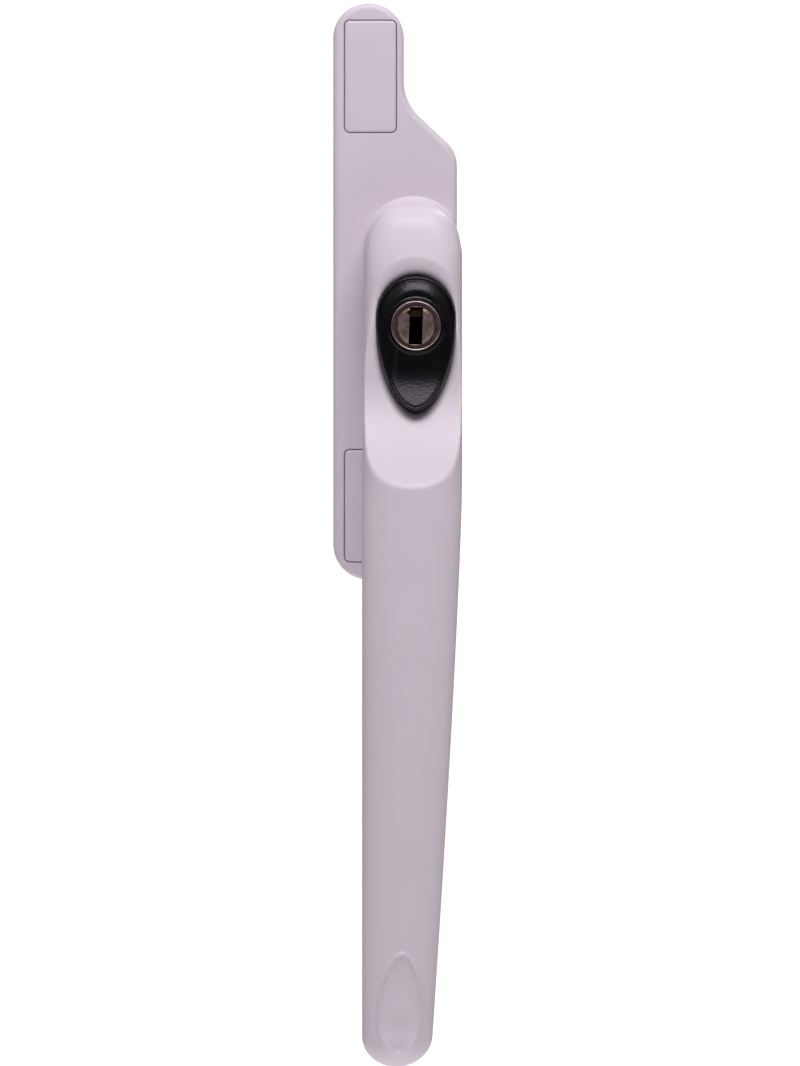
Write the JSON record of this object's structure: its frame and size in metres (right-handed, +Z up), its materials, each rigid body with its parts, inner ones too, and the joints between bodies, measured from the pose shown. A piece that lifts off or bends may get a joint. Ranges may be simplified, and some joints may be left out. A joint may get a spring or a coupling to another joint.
{
  "type": "cranked window handle",
  "caption": "Cranked espagnolette window handle with a shaped backplate, snap-in screw covers, key lock and square spindle.",
  "frame": {"origin": "on the spindle's axis, in the plane of the backplate's back face, which lies on the window frame", "axes": "+X to the right seen from the room, +Y into the window frame, +Z up, with the lever hanging down in the closed position"},
  "size_m": [0.0267, 0.0783, 0.2197],
  "materials": {
    "white_paint": "satin",
    "cover_plastic": "satin",
    "black_plastic": "gloss",
    "nickel": "satin",
    "wafer_brass": "satin",
    "zinc_steel": "satin",
    "spring_steel": "satin",
    "bush_plastic": "matte"
  },
  "bodies": {
    "plate": {"backplate": "white_paint", "upper_screw_cover": "cover_plastic", "lower_screw_cover": "cover_plastic", "fixing_screws": "zinc_steel", "bearing_bush": "bush_plastic", "detent_springs": "spring_steel", "back_cover": "zinc_steel", "cover_screws": "zinc_steel"},
    "handle": {"lever": "white_paint", "spindle": "zinc_steel", "spindle_pin": "spring_steel", "detent_cam": "zinc_steel", "wave_washer": "spring_steel", "retaining_ring": "spring_steel", "lock_bezel": "black_plastic", "cylinder_body": "nickel", "cylinder_clip": "spring_steel", "bolt_keeper": "zinc_steel", "keeper_screws": "zinc_steel"},
    "plug": {"cylinder_plug": "nickel", "wafers": "wafer_brass", "lock_cam": "zinc_steel"},
    "bolt": {"locking_bolt": "zinc_steel"}
  },
  "joints": [
    {"name": "handle_turn", "type": "hinge", "parent": "plate", "child": "handle", "pos_m": [0, 0, 0], "axis": [0, -1, 0], "range_deg": [0, 90], "deforming": ["detent_springs"]},
    {"name": "key_turn", "type": "hinge", "parent": "handle", "child": "plug", "pos_m": [0.0006, 0, -0.0165], "axis": [0, -1, 0], "range_deg": [0, 90]},
    {"name": "bolt_slide", "type": "slide", "parent": "handle", "child": "bolt", "axis": [0, 0, 1], "range_m": [0, 0.0018]}
  ],
  "couplings": [
    {"joint": "key_turn", "follows": "bolt_slide", "rad_per_m": 872.6}
  ]
}
